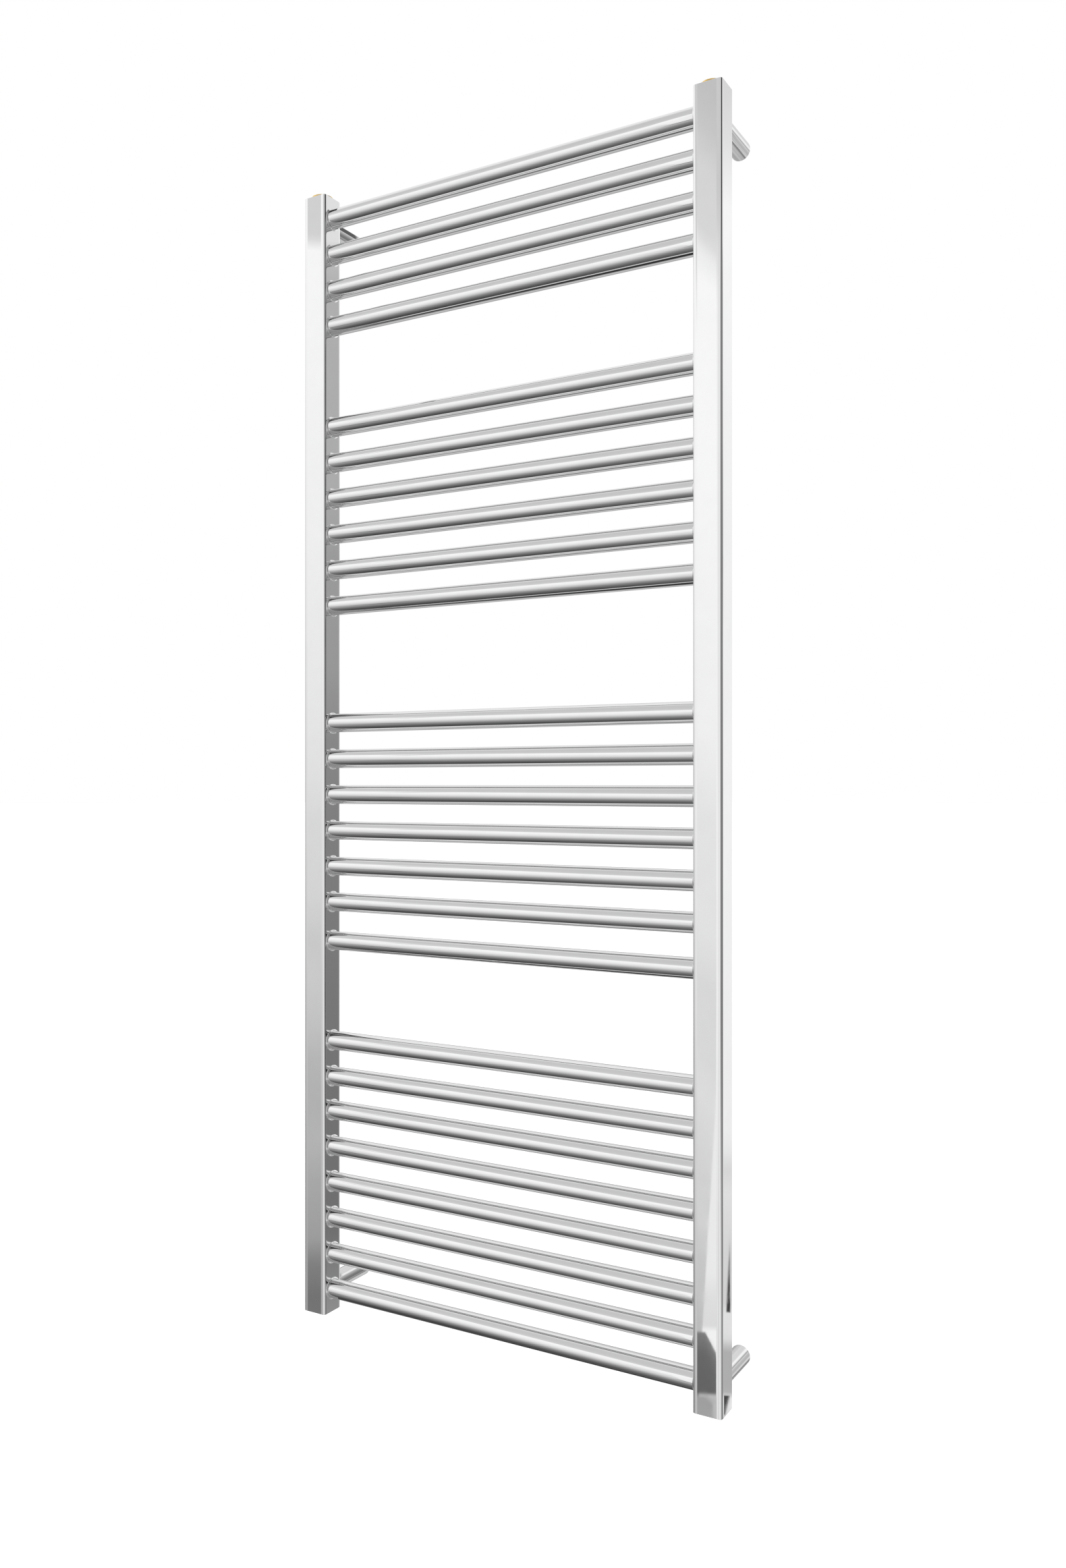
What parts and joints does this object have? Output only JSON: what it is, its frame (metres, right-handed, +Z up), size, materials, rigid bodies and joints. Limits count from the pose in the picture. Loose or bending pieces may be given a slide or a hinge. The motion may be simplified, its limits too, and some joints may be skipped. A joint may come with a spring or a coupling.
{
  "type": "ladder towel radiator",
  "caption": "Upright ladder radiator: round tubes in groups between two box-section collectors, with wall posts, brass air vent and blanking plug.",
  "frame": {"origin": "centre of the four wall fixing holes, on the wall plane", "axes": "+X to the right as seen from the room, +Y into the wall, +Z up along the collectors"},
  "size_m": [0.6, 0.106, 1.5034],
  "materials": {
    "chrome": "polished chrome plate on steel",
    "brass": "polished bright brass",
    "zinc_plated_steel": "turned, zinc plated",
    "dark_neck": "turned steel, dull",
    "seal_rubber": "moulded rubber"
  },
  "bodies": {
    "wall_feet": {"left_top_wall_foot": "zinc_plated_steel", "left_bottom_wall_foot": "zinc_plated_steel", "right_top_wall_foot": "zinc_plated_steel", "right_bottom_wall_foot": "zinc_plated_steel"},
    "radiator": {"tube_01": "chrome", "tube_02": "chrome", "tube_03": "chrome", "tube_04": "chrome", "tube_05": "chrome", "tube_06": "chrome", "tube_07": "chrome", "tube_08": "chrome", "tube_09": "chrome", "tube_10": "chrome", "tube_11": "chrome", "tube_12": "chrome", "tube_13": "chrome", "tube_14": "chrome", "tube_15": "chrome", "tube_16": "chrome", "tube_17": "chrome", "tube_18": "chrome", "tube_19": "chrome", "tube_20": "chrome", "tube_21": "chrome", "tube_22": "chrome", "tube_23": "chrome", "tube_24": "chrome", "tube_25": "chrome", "left_collector": "chrome", "left_weld_beads": "chrome", "left_top_end_cap": "chrome", "left_top_port_boss": "zinc_plated_steel", "left_top_bracket_sleeve": "chrome", "left_top_bracket_stud": "dark_neck", "left_bottom_end_cap": "chrome", "left_bottom_port_boss": "zinc_plated_steel", "left_bottom_bracket_sleeve": "chrome", "left_bottom_bracket_stud": "dark_neck", "right_collector": "chrome", "right_weld_beads": "chrome", "right_top_end_cap": "chrome", "right_top_port_boss": "zinc_plated_steel", "right_top_bracket_sleeve": "chrome", "right_top_bracket_stud": "dark_neck", "right_bottom_end_cap": "chrome", "right_bottom_port_boss": "zinc_plated_steel", "right_bottom_bracket_sleeve": "chrome", "right_bottom_bracket_stud": "dark_neck", "grub_screws": "zinc_plated_steel", "blanking_plug": "brass", "blanking_plug_o_ring": "seal_rubber", "vent_body": "brass", "vent_o_ring": "seal_rubber"},
    "bleed_seal": {"vent_seal": "seal_rubber"},
    "bleed_screw": {"vent_screw": "brass"}
  },
  "joints": [
    {"name": "wall_distance", "type": "slide", "parent": "wall_feet", "child": "radiator", "axis": [0, -1, 0], "range_m": [0, 0.02]},
    {"name": "vent_lift", "type": "slide", "parent": "radiator", "child": "bleed_seal", "axis": [0, 0, 1], "range_m": [0, 0.001]},
    {"name": "vent_turn", "type": "hinge", "parent": "bleed_seal", "child": "bleed_screw", "pos_m": [0.28225, -0.089, 0.75255], "axis": [0, 0, 1], "range_deg": [0, 360]}
  ],
  "couplings": [
    {"joint": "vent_turn", "follows": "vent_lift", "rad_per_m": 6283}
  ]
}
